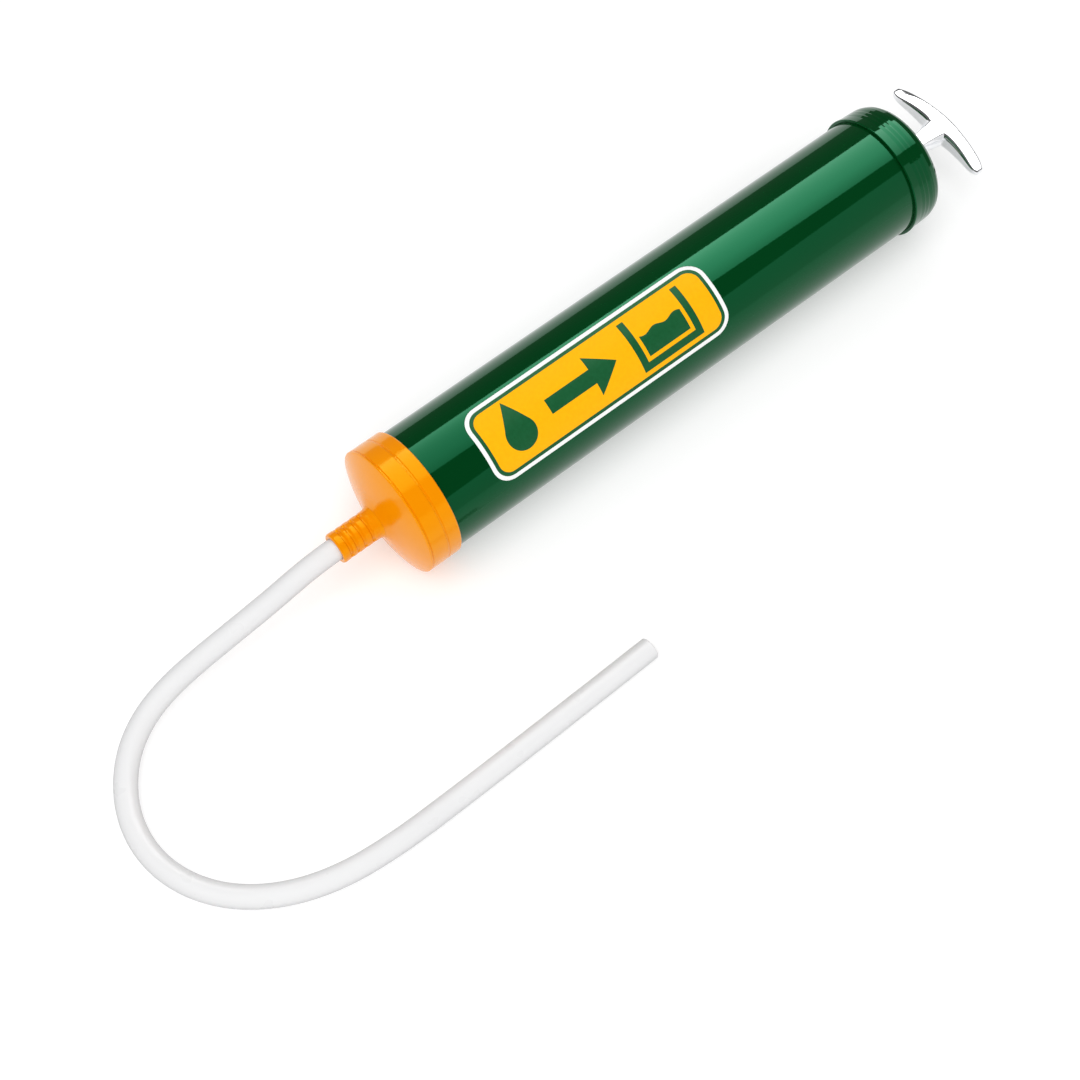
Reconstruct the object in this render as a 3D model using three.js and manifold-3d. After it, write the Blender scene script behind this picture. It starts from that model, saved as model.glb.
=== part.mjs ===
// Hand-operated fluid transfer pump (oil suction gun): a straight painted steel
// barrel with a screwed nose cap, a short ribbed collar that holds a flexible
// suction hose, a screwed rear cap with the rod bush, and a plunger rod with two
// seal cups and a cast T-handle.
//
// Units are millimetres, +Z is up. The pump lies on its side on the plane z = 0.
// The barrel axis is parallel to X at height AXIS_Z, the handle is towards +X and
// the hose leaves towards -X. The origin is at the middle of the footprint of the
// pump (without its hose), on the plane it lies on.

import * as THREE from 'three';
import { mergeVertices } from 'three/addons/utils/BufferGeometryUtils.js';
import Module from 'manifold-3d';

const wasm = await Module();
wasm.setup();

// ---------------------------------------------------------------- dimensions
const AXIS_Z = 30.0;            // height of the barrel axis
const SHIFT = -133.8;           // stations below are measured from the seam of the
                                // nose cap; this moves them into the part frame
const CAP_R = 30.0;             // outer radius of both screw caps
const BARREL_R = 28.5;          // barrel outer radius (57 mm tube)
const BORE_R = 27.5;            // barrel bore radius (55 mm bore)
const BARREL_X0 = -10.0;        // barrel end inside the nose cap
const BARREL_X1 = 270.5;        // barrel end inside the rear cap
const REAR_SEAM = 259.5;        // edge of the rear cap skirt
const REAR_FACE = 277.5;        // outer face of the rear cap
const SKIRT_R = 28.85;          // inner radius of both cap skirts
const CAP_FLOOR = -12.0;        // gasket seat in the nose cap
const FERRULE_X0 = -43.4;       // mouth of the hose collar
const FERRULE_X1 = -22.9;       // foot of the hose collar
const FERRULE_R = 7.05;         // collar outer radius over the ribs
const RIB_PITCH = 3.7;          // pitch of the collar's grooves
const HOSE_R = 5.0;             // 10 mm hose
const ROD_R = 4.0;              // 8 mm plunger rod
const THREAD_R = 3.6;           // threaded front end of the rod
const NUT_BORE = 3.95;
const RUN_BORE = 4.35;          // bores that the rod runs or turns in
const STEM_R = 4.8;             // round stem of the T-handle
const HANDLE_HALF = 28.4;       // half span of the T-handle
const CROWN_X = 309.8;          // top of the handle's crown
const HANDLE_T = 9.4;           // thickness of the handle beside its stem
const HANDLE_TILT = 4.5;        // degrees the handle is turned about the rod at rest
const BIG = 48;                 // facets on the barrel and caps
const SMALL = 24;               // facets on small round pieces

// ------------------------------------------------------------------- helpers
function clean(geometry) {
  // keep positions only, share vertices, drop empty faces, face outwards
  const g = geometry.index ? geometry.clone() : mergeVertices(geometry.clone(), 1e-4);
  for (const name of Object.keys(g.attributes)) if (name !== 'position') g.deleteAttribute(name);
  const m = mergeVertices(g, 1e-3);
  const idx = Array.from(m.index.array);
  const pos = m.attributes.position;
  const keep = [];
  const a = new THREE.Vector3(), b = new THREE.Vector3(), c = new THREE.Vector3();
  let volume = 0;
  for (let i = 0; i < idx.length; i += 3) {
    const [p, q, r] = [idx[i], idx[i + 1], idx[i + 2]];
    if (p === q || q === r || p === r) continue;
    keep.push(p, q, r);
    a.fromBufferAttribute(pos, p); b.fromBufferAttribute(pos, q); c.fromBufferAttribute(pos, r);
    volume += a.dot(b.clone().cross(c)) / 6;
  }
  if (volume < 0) for (let i = 0; i < keep.length; i += 3) [keep[i + 1], keep[i + 2]] = [keep[i + 2], keep[i + 1]];
  const out = new THREE.BufferGeometry();
  out.setAttribute('position', new THREE.BufferAttribute(new Float32Array(pos.array), 3));
  out.setIndex(keep);
  return out;
}

function toSolid(geometry) {
  const g = clean(geometry);
  return new wasm.Manifold(new wasm.Mesh({
    numProp: 3,
    vertProperties: new Float32Array(g.attributes.position.array),
    triVerts: new Uint32Array(g.index.array),
  }));
}

function toGeometry(solid) {
  const m = solid.getMesh();
  const g = new THREE.BufferGeometry();
  const n = m.numProp, verts = new Float32Array((m.vertProperties.length / n) * 3);
  for (let i = 0, j = 0; i < m.vertProperties.length; i += n, j += 3) {
    verts[j] = m.vertProperties[i]; verts[j + 1] = m.vertProperties[i + 1]; verts[j + 2] = m.vertProperties[i + 2];
  }
  g.setAttribute('position', new THREE.BufferAttribute(verts, 3));
  g.setIndex(Array.from(m.triVerts));
  return clean(g);
}

// Turned piece: profile is a list of [station, radius]; it is turned about the
// barrel axis. A ring repeats its first point at the end, a solid starts and ends
// on the axis.
function turned(profile, segments) {
  const pts = profile.map(([x, r]) => new THREE.Vector2(r, x));
  const g = new THREE.LatheGeometry(pts, segments);
  g.rotateZ(-Math.PI / 2);
  return g;
}

function ring(x0, x1, rIn, rOut, segments) {
  return turned([[x0, rIn], [x0, rOut], [x1, rOut], [x1, rIn], [x0, rIn]], segments);
}

function nut(x0, x1, flats, bore) {
  const shape = new THREE.Shape();
  const R = flats / Math.sqrt(3);
  for (let i = 0; i < 6; i++) {
    const t = (i / 6) * Math.PI * 2 + Math.PI / 6;
    if (i === 0) shape.moveTo(R * Math.cos(t), R * Math.sin(t));
    else shape.lineTo(R * Math.cos(t), R * Math.sin(t));
  }
  shape.closePath();
  const hole = new THREE.Path();
  hole.absarc(0, 0, bore, 0, Math.PI * 2, true);
  shape.holes.push(hole);
  const g = new THREE.ExtrudeGeometry(shape, { depth: x1 - x0, bevelEnabled: false, curveSegments: SMALL / 2 });
  g.rotateY(Math.PI / 2);
  g.translate(x0, 0, 0);
  return g;
}

// ------------------------------------------------------------------ the pump
const pump = new THREE.Group();
const onAxis = new THREE.Group();
onAxis.position.set(SHIFT, 0, AXIS_Z);
pump.add(onAxis);

const finishes = {
  green_paint: new THREE.MeshStandardMaterial({ color: 0x0a4a2b, roughness: 0.22, metalness: 0.0 }),
  orange_paint: new THREE.MeshStandardMaterial({ color: 0xff9c00, roughness: 0.32, metalness: 0.0 }),
  chrome: new THREE.MeshStandardMaterial({ color: 0xd8dade, roughness: 0.08, metalness: 1.0 }),
  zinc: new THREE.MeshStandardMaterial({ color: 0xb4b6ba, roughness: 0.35, metalness: 1.0 }),
  brass: new THREE.MeshStandardMaterial({ color: 0xc9a24a, roughness: 0.3, metalness: 1.0 }),
  hose_clear: new THREE.MeshStandardMaterial({ color: 0xeef0f2, roughness: 0.3, metalness: 0.0 }),
  rubber: new THREE.MeshStandardMaterial({ color: 0x17181a, roughness: 0.7, metalness: 0.0 }),
  nylon: new THREE.MeshStandardMaterial({ color: 0xe8e4d4, roughness: 0.5, metalness: 0.0 }),
  felt: new THREE.MeshStandardMaterial({ color: 0x8d8a84, roughness: 0.95, metalness: 0.0 }),
  label_film: new THREE.MeshStandardMaterial({ color: 0xffab00, roughness: 0.35, metalness: 0.0 }),
};

function add(name, geometry, finish, parent = onAxis) {
  const mesh = new THREE.Mesh(clean(geometry), finishes[finish]);
  mesh.name = name;
  parent.add(mesh);
  return mesh;
}

// Barrel: thin seamed tube, open at both ends.
add('barrel_tube', ring(BARREL_X0, BARREL_X1, BORE_R, BARREL_R, BIG), 'green_paint');

// Nose cap: cast cup with a shallow groove in its wall, a crisp rim, a low domed
// face and a short neck that the hose collar stands on.
add('nose_cap', turned([
  [-22.6, 4.6], [-22.6, 8.2], [-21.9, 9.3], [-21.2, 11.8], [-19.9, 17.0], [-18.4, 22.5],
  [-16.9, 27.4], [-15.9, 29.3], [-15.0, CAP_R], [-7.0, CAP_R], [-6.8, 29.5], [-6.0, 29.5],
  [-5.8, CAP_R], [0, CAP_R], [0, SKIRT_R], [CAP_FLOOR, SKIRT_R], [CAP_FLOOR, 23.0],
  [-15.5, 21.0], [-17.0, 9.5], [-17.0, 4.6], [-22.6, 4.6],
], BIG), 'orange_paint');

// Flat gasket between the barrel end and the cap floor.
add('nose_gasket', ring(CAP_FLOOR + 0.3, BARREL_X0 - 0.3, 25.2, 28.4, BIG), 'rubber');

// Hose barb, screwed through the neck from inside, with its sealing washer.
add('barb_washer', ring(-16.7, -15.7, 4.6, 8.0, SMALL), 'rubber');
add('hose_barb', turned([
  [-41.0, 2.0], [-41.0, 2.7], [-38.2, 3.3], [-38.1, 2.8], [-35.4, 3.3], [-35.3, 2.8],
  [-32.6, 3.3], [-32.5, 2.8], [-24.2, 2.8], [-24.0, 4.2], [-15.4, 4.2], [-15.4, 7.5],
  [-12.9, 7.5], [-12.9, 2.0], [-41.0, 2.0],
], SMALL), 'brass');

// Hose collar: sleeve with five turned grooves, a foot ring and an open mouth
// that the hose is pushed into.
{
  const profile = [[FERRULE_X0, 5.4], [FERRULE_X0, FERRULE_R - 0.35], [FERRULE_X0 + 0.5, FERRULE_R]];
  for (let i = 4; i >= 0; i--) {
    const x = -26.4 - i * RIB_PITCH;
    const depth = i === 0 ? 0.95 : 0.65;
    profile.push([x - 0.75, FERRULE_R], [x - 0.45, FERRULE_R - depth], [x + 0.45, FERRULE_R - depth], [x + 0.75, FERRULE_R]);
  }
  profile.push([FERRULE_X1 - 1.6, 7.7], [FERRULE_X1, 7.7], [FERRULE_X1, 4.6], [-27.2, 4.6], [-27.2, 5.4], [FERRULE_X0, 5.4]);
  add('hose_ferrule', turned(profile, 32), 'orange_paint');
}

// Rear cap: pressed steel cap with a plain lip, a slightly tapering skirt, a
// rounded shoulder and a flat end with the bush hole.
add('rear_cap', turned([
  [REAR_SEAM, SKIRT_R], [REAR_SEAM, CAP_R], [262.0, CAP_R], [262.5, 29.5], [267.0, 29.35],
  [271.6, 28.95], [274.4, 28.1], [276.2, 26.7], [277.2, 24.6], [REAR_FACE, 22.0], [REAR_FACE, 8.1],
  [274.5, 8.1], [274.5, 27.2], [273.2, SKIRT_R], [REAR_SEAM, SKIRT_R],
], BIG), 'green_paint');

// Rod bush with its flange inside the cap, a felt wiper and the washer that
// holds the wiper.
add('rod_bush', turned([
  [271.4, RUN_BORE], [271.4, 12.0], [274.2, 12.0], [274.2, 7.7], [278.3, 7.7], [278.3, RUN_BORE], [271.4, RUN_BORE],
], SMALL), 'nylon');
add('rod_wiper', ring(266.8, 271.1, RUN_BORE, 7.5, SMALL), 'felt');
add('wiper_washer', ring(264.9, 266.5, RUN_BORE, 12.0, SMALL), 'zinc');

// Label: a thin film panel wrapped on the barrel, its corners rounded.
{
  const LABEL_X0 = 23.4, LABEL_X1 = 152.6, A0 = -7.5, A1 = 67.5, RI = 28.85, RO = 29.1;
  const steps = 10;                       // 7.5 degree facets, like the barrel
  const corner = 9.0;
  const halfArc = (A1 - A0) / 2;
  const mid = (A0 + A1) / 2;
  const section = new THREE.Shape();
  const P = (r, deg) => [r * Math.cos(THREE.MathUtils.degToRad(deg)), r * Math.sin(THREE.MathUtils.degToRad(deg))];
  for (let i = 0; i <= steps; i++) {
    const [u, v] = P(RO, A0 + (i / steps) * (A1 - A0));
    if (i === 0) section.moveTo(u, v); else section.lineTo(u, v);
  }
  for (let i = steps; i >= 0; i--) { const [u, v] = P(RI, A0 + (i / steps) * (A1 - A0)); section.lineTo(u, v); }
  section.closePath();
  // extruded along X: section's first axis is +Z, its second axis is -Y
  const film = new THREE.ExtrudeGeometry(section, { depth: LABEL_X1 - LABEL_X0, bevelEnabled: false });
  film.applyMatrix4(new THREE.Matrix4().makeBasis(
    new THREE.Vector3(0, 0, 1), new THREE.Vector3(0, -1, 0), new THREE.Vector3(1, 0, 0)));
  film.translate(LABEL_X0, 0, 0);
  // rounded outline, cut with a prism that looks along the middle of the label
  const outline = new THREE.Shape();
  const w = RO * Math.sin(THREE.MathUtils.degToRad(halfArc)) + 0.01, L = LABEL_X1 - LABEL_X0, c = corner;
  outline.moveTo(c, -w);
  outline.lineTo(L - c, -w); outline.absarc(L - c, -w + c, c, -Math.PI / 2, 0, false);
  outline.lineTo(L, w - c); outline.absarc(L - c, w - c, c, 0, Math.PI / 2, false);
  outline.lineTo(c, w); outline.absarc(c, w - c, c, Math.PI / 2, Math.PI, false);
  outline.lineTo(0, -w + c); outline.absarc(c, -w + c, c, Math.PI, Math.PI * 1.5, false);
  const prism = new THREE.ExtrudeGeometry(outline, { depth: 40, bevelEnabled: false, curveSegments: 4 });
  prism.translate(LABEL_X0, 0, 0);
  prism.rotateX(THREE.MathUtils.degToRad(mid));
  add('label_film', toGeometry(toSolid(film).intersect(toSolid(prism))), 'label_film');
}

// Piston: two cupped seals back to back on a spacer, each with a backing plate.
add('cup_plate_front', ring(-3.4, -1.4, RUN_BORE, 21.0, 32), 'zinc');
add('piston_cup_front', turned([
  [1.9, RUN_BORE], [-1.1, RUN_BORE], [-1.1, 23.4], [-2.6, 24.7], [-9.0, 25.4], [-9.0, 27.1], [0.4, 27.1], [1.9, 26.0], [1.9, RUN_BORE],
], BIG), 'rubber');
add('piston_spacer', ring(2.2, 8.2, RUN_BORE, 22.0, 32), 'nylon');
add('piston_cup_rear', turned([
  [8.5, RUN_BORE], [8.5, 26.0], [10.0, 27.1], [19.4, 27.1], [19.4, 25.4], [13.0, 24.7], [11.5, 23.4], [11.5, RUN_BORE], [8.5, RUN_BORE],
], BIG), 'rubber');
add('cup_plate_rear', ring(11.8, 13.8, RUN_BORE, 21.0, 32), 'zinc');

// Plunger: rod, nuts and the cast T-handle.
add('plunger_rod', turned([
  [-11.4, 0], [-11.4, THREAD_R - 0.6], [-10.8, THREAD_R], [19.4, THREAD_R], [19.5, ROD_R], [295.0, ROD_R], [295.7, ROD_R - 0.7], [295.7, 0],
], SMALL), 'chrome');
add('front_nut', nut(-10.6, -5.6, 13.0, NUT_BORE), 'zinc');
add('lock_washer', ring(-5.3, -3.7, NUT_BORE, 7.2, SMALL), 'zinc');
add('rear_nut', nut(14.1, 19.1, 13.0, NUT_BORE), 'zinc');
add('handle_nut', nut(280.4, 284.8, 13.0, RUN_BORE), 'zinc');

{
  // plan outline of the crown bar: convex outer edge, straight underside, flared root
  const outer = [[CROWN_X, 0], [309.7, 3], [309.4, 7], [308.9, 10.5], [308.3, 14], [307.6, 18], [307.0, 21.5], [306.4, 24.5], [305.4, 26.4],
    [304.0, 27.7], [302.4, HANDLE_HALF], [300.8, 27.8], [299.7, 26.3], [299.3, 24.5], [299.6, 20.5], [300.2, 14], [300.5, 10],
    [300.2, 8.0], [299.0, 6.6], [297.0, 5.9], [294.5, 5.4], [292.0, 5.0], [290.5, 4.6]];
  const crown = new THREE.Shape();
  crown.moveTo(outer[0][0], outer[0][1]);
  for (let i = 1; i < outer.length; i++) crown.lineTo(outer[i][0], outer[i][1]);
  for (let i = outer.length - 1; i > 0; i--) crown.lineTo(outer[i][0], -outer[i][1]);
  crown.closePath();
  const bevel = 1.3;
  const bar = new THREE.ExtrudeGeometry(crown, {
    depth: HANDLE_T - 2 * 1.5, bevelEnabled: true, bevelThickness: 1.5, bevelSize: bevel, bevelOffset: -bevel, bevelSegments: 2,
  });
  bar.translate(0, 0, -HANDLE_T / 2 + 1.5);
  // the arms thin towards their tips: seen along the rod, half thickness against half span
  const side = [[0, 4.7], [7, 4.6], [14, 4.0], [20, 3.1], [25, 2.1], [29, 1.5]];
  const face = new THREE.Shape();
  face.moveTo(side[0][0], side[0][1]);
  for (let i = 1; i < side.length; i++) face.lineTo(side[i][0], side[i][1]);
  for (let i = side.length - 1; i >= 0; i--) face.lineTo(side[i][0], -side[i][1]);
  for (let i = 1; i < side.length; i++) face.lineTo(-side[i][0], -side[i][1]);
  for (let i = side.length - 1; i > 0; i--) face.lineTo(-side[i][0], side[i][1]);
  face.closePath();
  const slab = new THREE.ExtrudeGeometry(face, { depth: 30, bevelEnabled: false });
  // shape (u, v, depth) becomes (depth, u, v)
  slab.applyMatrix4(new THREE.Matrix4().set(0, 0, 1, 285, 1, 0, 0, 0, 0, 1, 0, 0, 0, 0, 0, 1));
  const stem = turned([[285.1, 0], [285.1, STEM_R - 0.4], [285.5, STEM_R], [299.0, STEM_R], [299.0, 0]], SMALL);
  const bore = turned([[284.0, 0], [284.0, RUN_BORE], [296.1, RUN_BORE], [296.1, 0]], SMALL);
  const handle = toGeometry(toSolid(bar).intersect(toSolid(slab)).add(toSolid(stem)).subtract(toSolid(bore)));
  handle.rotateX(THREE.MathUtils.degToRad(HANDLE_TILT));
  add('t_handle', handle, 'chrome');
}

// Hose: flexible 10 mm tube. It leaves the collar level with the barrel axis,
// sinks to the surface, turns back in one wide bend and lies beside the barrel.
{
  const route = [
    [-177.6, 0.0, 30.00], [-185.2, 0.0, 29.60], [-195.1, 0.0, 28.13], [-210.7, -0.3, 24.94], [-228.3, -0.1, 21.20],
    [-245.9, 0.1, 17.53], [-261.6, -0.5, 14.31], [-276.9, -3.6, 11.28], [-290.7, -10.9, 8.70], [-301.5, -22.5, 6.77],
    [-308.3, -36.8, 5.51], [-310.2, -52.6, 5.10], [-306.9, -68.2, 5.05], [-299.0, -82.1, 5.05], [-287.6, -93.2, 5.05],
    [-272.0, -102.1, 5.05], [-252.9, -107.8, 5.05], [-229.0, -110.2, 5.05], [-201.0, -110.4, 5.05], [-171.0, -110.0, 5.05],
    [-141.1, -109.4, 5.05], [-113.1, -108.8, 5.05], [-97.0, -108.4, 5.05],
  ].map((p) => new THREE.Vector3(...p));
  const path = new THREE.CatmullRomCurve3(route, false, 'centripetal');
  const section = new THREE.Shape();
  const sides = 10;
  for (let i = 0; i < sides; i++) {
    const t = (i / sides) * Math.PI * 2 + Math.PI / sides;
    const u = HOSE_R * Math.cos(t), v = HOSE_R * Math.sin(t);
    if (i === 0) section.moveTo(u, v); else section.lineTo(u, v);
  }
  section.closePath();
  add('hose', new THREE.ExtrudeGeometry(section, { steps: 44, extrudePath: path, bevelEnabled: false }), 'hose_clear', pump);
}

export default pump;
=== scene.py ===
import math

import bmesh
import bpy
import numpy as np
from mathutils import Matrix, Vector


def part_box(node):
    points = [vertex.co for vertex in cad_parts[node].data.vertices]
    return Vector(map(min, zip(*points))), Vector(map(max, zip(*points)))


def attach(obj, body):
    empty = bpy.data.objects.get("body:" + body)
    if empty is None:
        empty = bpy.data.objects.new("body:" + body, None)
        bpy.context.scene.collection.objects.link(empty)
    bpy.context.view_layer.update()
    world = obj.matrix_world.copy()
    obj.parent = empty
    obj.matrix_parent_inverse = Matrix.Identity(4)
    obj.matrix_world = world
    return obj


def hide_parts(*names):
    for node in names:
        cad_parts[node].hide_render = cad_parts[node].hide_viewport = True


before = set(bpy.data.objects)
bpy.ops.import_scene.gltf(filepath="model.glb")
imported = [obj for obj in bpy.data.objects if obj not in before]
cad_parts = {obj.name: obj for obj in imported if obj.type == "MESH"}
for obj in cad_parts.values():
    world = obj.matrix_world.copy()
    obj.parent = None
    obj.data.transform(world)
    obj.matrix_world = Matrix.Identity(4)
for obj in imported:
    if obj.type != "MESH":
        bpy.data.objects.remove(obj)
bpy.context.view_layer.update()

scene = bpy.context.scene
MM = 0.001

# Reference stations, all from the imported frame. Profiles below are written in
# millimetres, measured along the barrel axis from the seam of the nose cap.
_tube_lo, _tube_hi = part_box("barrel_tube")
_nose_lo, _nose_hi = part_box("nose_cap")
SEAM_X = _nose_hi.x
AXIS_Y = (_tube_lo.y + _tube_hi.y) / 2
AXIS_Z = (_tube_lo.z + _tube_hi.z) / 2
BARREL_R = (_tube_hi.z - _tube_lo.z) / 2 / MM
REAR_SEAM = (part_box("rear_cap")[0].x - SEAM_X) / MM
REAR_FACE = (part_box("rear_cap")[1].x - SEAM_X) / MM
MOUTH = (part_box("hose_ferrule")[0].x - SEAM_X) / MM
FOOT = (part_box("hose_ferrule")[1].x - SEAM_X) / MM


def at(x, y, z):
    """A point given in mm from the barrel axis at the nose seam, in metres in the row frame."""
    return Vector((SEAM_X + x * MM, AXIS_Y + y * MM, AXIS_Z + z * MM))


# ------------------------------------------------------------------- camera
camera_data = bpy.data.cameras.new("camera")
camera_data.lens = 75.6
camera_data.sensor_width = 36.0
camera_data.clip_start = 0.01
camera_data.clip_end = 100.0
camera = bpy.data.objects.new("camera", camera_data)
scene.collection.objects.link(camera)
camera.location = (-0.3954, -0.4007, 0.8538)
_look = Vector((0.30490658, 0.37278846, -0.87639075))
camera.rotation_mode = "QUATERNION"
camera.rotation_quaternion = _look.to_track_quat("-Z", "Y")
scene.camera = camera


# ---------------------------------------------------------------- materials
def new_material(name):
    m = bpy.data.materials.new(name)
    m.use_nodes = True
    nt = m.node_tree
    return m, nt, nt.nodes["Principled BSDF"]


def coords(nt, scale=(1, 1, 1)):
    tc = nt.nodes.new("ShaderNodeTexCoord")
    mp = nt.nodes.new("ShaderNodeMapping")
    mp.inputs["Scale"].default_value = scale
    nt.links.new(tc.outputs["Object"], mp.inputs["Vector"])
    return mp.outputs["Vector"]


def noise(nt, vec, scale, detail=3.0, rough=0.5):
    n = nt.nodes.new("ShaderNodeTexNoise")
    n.inputs["Scale"].default_value = scale
    n.inputs["Detail"].default_value = detail
    n.inputs["Roughness"].default_value = rough
    nt.links.new(vec, n.inputs["Vector"])
    return n.outputs["Fac"]


def remap(nt, value, lo, hi, to_lo, to_hi):
    r = nt.nodes.new("ShaderNodeMapRange")
    r.inputs["From Min"].default_value = lo
    r.inputs["From Max"].default_value = hi
    r.inputs["To Min"].default_value = to_lo
    r.inputs["To Max"].default_value = to_hi
    nt.links.new(value, r.inputs["Value"])
    return r.outputs["Result"]


def mix_colour(nt, fac, a, b):
    m = nt.nodes.new("ShaderNodeMix")
    m.data_type = "RGBA"
    m.inputs[6].default_value = (*a, 1)
    m.inputs[7].default_value = (*b, 1)
    nt.links.new(fac, m.inputs[0])
    return m.outputs[2]


def add_bump(nt, height, distance, strength=1.0, normal=None):
    b = nt.nodes.new("ShaderNodeBump")
    b.inputs["Distance"].default_value = distance
    b.inputs["Strength"].default_value = strength
    nt.links.new(height, b.inputs["Height"])
    if normal is not None:
        nt.links.new(normal, b.inputs["Normal"])
    return b.outputs["Normal"]


def painted(name, dark, light, rough_lo, rough_hi, peel=1.0, tint=(1, 1, 1), specular=0.5, coat=0.0):
    """Sprayed gloss paint: faint colour drift, roughness drift, orange peel and fine dust."""
    m, nt, p = new_material(name)
    v = coords(nt)
    drift = noise(nt, v, 9.0, 2.0)
    nt.links.new(mix_colour(nt, remap(nt, drift, 0.35, 0.65, 0, 1), dark, light), p.inputs["Base Color"])
    smear = noise(nt, v, 55.0, 4.0, 0.6)
    nt.links.new(remap(nt, smear, 0.3, 0.7, rough_lo, rough_hi), p.inputs["Roughness"])
    wave = add_bump(nt, noise(nt, v, 28.0, 1.0), 0.00022 * peel, 0.30)
    fine = add_bump(nt, noise(nt, v, 900.0, 2.0), 0.000012 * peel, 0.35, wave)
    nt.links.new(fine, p.inputs["Normal"])
    p.inputs["Specular IOR Level"].default_value = specular
    p.inputs["Specular Tint"].default_value = (*tint, 1)
    p.inputs["IOR"].default_value = 1.5
    p.inputs["Coat Weight"].default_value = coat
    p.inputs["Coat Roughness"].default_value = 0.04
    return m


def metal(name, a, b, rough_lo, rough_hi, brush=(1, 1, 1), depth=0.000004, scale=700.0):
    """Metal with fine scratches or turning marks along the directions that brush leaves long."""
    m, nt, p = new_material(name)
    v = coords(nt, brush)
    marks = noise(nt, v, scale, 3.0, 0.6)
    nt.links.new(mix_colour(nt, remap(nt, marks, 0.3, 0.7, 0, 1), a, b), p.inputs["Base Color"])
    blot = noise(nt, coords(nt), 60.0, 3.0, 0.55)
    nt.links.new(remap(nt, blot, 0.3, 0.7, rough_lo, rough_hi), p.inputs["Roughness"])
    nt.links.new(add_bump(nt, marks, depth, 0.5), p.inputs["Normal"])
    p.inputs["Metallic"].default_value = 1.0
    return m


def plain_polymer(name, a, b, rough_lo, rough_hi, grain=600.0, depth=0.00002, subsurface=0.0, specular=0.5):
    m, nt, p = new_material(name)
    v = coords(nt)
    g = noise(nt, v, grain, 4.0, 0.6)
    nt.links.new(mix_colour(nt, remap(nt, g, 0.35, 0.65, 0, 1), a, b), p.inputs["Base Color"])
    nt.links.new(remap(nt, noise(nt, v, 80.0, 3.0), 0.3, 0.7, rough_lo, rough_hi), p.inputs["Roughness"])
    nt.links.new(add_bump(nt, g, depth, 0.5), p.inputs["Normal"])
    p.inputs["Specular IOR Level"].default_value = specular
    p.inputs["Subsurface Weight"].default_value = subsurface
    p.inputs["Subsurface Radius"].default_value = (0.002, 0.002, 0.002)
    return m


GREEN = painted("green_enamel", (0.0002, 0.0350, 0.0058), (0.0004, 0.0395, 0.0070), 0.045, 0.075, peel=0.8,
                tint=(0.12, 1.0, 0.50), specular=0.5)
ORANGE = painted("orange_enamel", (0.85, 0.252, 0.0), (0.89, 0.270, 0.0003), 0.13, 0.20, peel=1.3,
                 tint=(0.7, 1.0, 0.05), specular=0.7)
CHROME = metal("bright_chrome", (0.80, 0.81, 0.83), (0.87, 0.875, 0.885), 0.045, 0.085, depth=0.0000012)
STEEL = metal("ground_steel", (0.55, 0.56, 0.58), (0.68, 0.69, 0.70), 0.12, 0.22, brush=(1, 14, 14), depth=0.000002)
ZINC = metal("zinc_plate", (0.50, 0.51, 0.53), (0.63, 0.64, 0.66), 0.28, 0.42)
BRASS = metal("turned_brass", (0.66, 0.44, 0.15), (0.78, 0.55, 0.22), 0.22, 0.34, brush=(20, 1, 1))
RUBBER = plain_polymer("black_rubber", (0.010, 0.010, 0.011), (0.022, 0.022, 0.023), 0.55, 0.72)
NYLON = plain_polymer("natural_nylon", (0.72, 0.69, 0.58), (0.80, 0.77, 0.67), 0.32, 0.46, depth=0.00001, subsurface=0.2)
FELT = plain_polymer("grey_felt", (0.17, 0.16, 0.15), (0.33, 0.31, 0.29), 0.9, 1.0, grain=1400.0, depth=0.0002)
WHITE_INK = plain_polymer("white_ink", (0.86, 0.87, 0.86), (0.92, 0.92, 0.91), 0.30, 0.42, depth=0.000004, specular=0.15)
ORANGE_INK = plain_polymer("orange_ink", (0.97, 0.43, 0.0), (1.0, 0.46, 0.0005), 0.30, 0.42, depth=0.000004, specular=0.12)
GREEN_INK = plain_polymer("green_ink", (0.006, 0.088, 0.026), (0.008, 0.100, 0.032), 0.30, 0.42, depth=0.000004, specular=0.15)


def hose_material():
    """Milky flexible tube: mostly diffuse, a clear skin that dims it towards the outline, a very faint bump."""
    m, nt, p = new_material("milky_hose")
    v = coords(nt)
    cloud = noise(nt, v, 22.0, 2.0)
    nt.links.new(mix_colour(nt, remap(nt, cloud, 0.3, 0.7, 0, 1), (0.96, 0.96, 0.963), (0.99, 0.99, 0.99)), p.inputs["Base Color"])
    nt.links.new(remap(nt, noise(nt, v, 90.0, 2.0), 0.3, 0.7, 0.26, 0.36), p.inputs["Roughness"])
    nt.links.new(add_bump(nt, noise(nt, v, 240.0, 1.0), 0.000008, 0.25), p.inputs["Normal"])
    p.inputs["IOR"].default_value = 1.45
    p.inputs["Specular IOR Level"].default_value = 0.5
    p.inputs["Transmission Weight"].default_value = 0.0
    p.inputs["Subsurface Weight"].default_value = 0.2
    p.inputs["Subsurface Radius"].default_value = (0.002, 0.002, 0.002)
    p.inputs["Coat Weight"].default_value = 1.0
    p.inputs["Coat IOR"].default_value = 1.05
    p.inputs["Coat Roughness"].default_value = 0.2
    p.inputs["Coat Tint"].default_value = (0.82, 0.82, 0.823, 1)
    return m


HOSE = hose_material()


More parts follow.
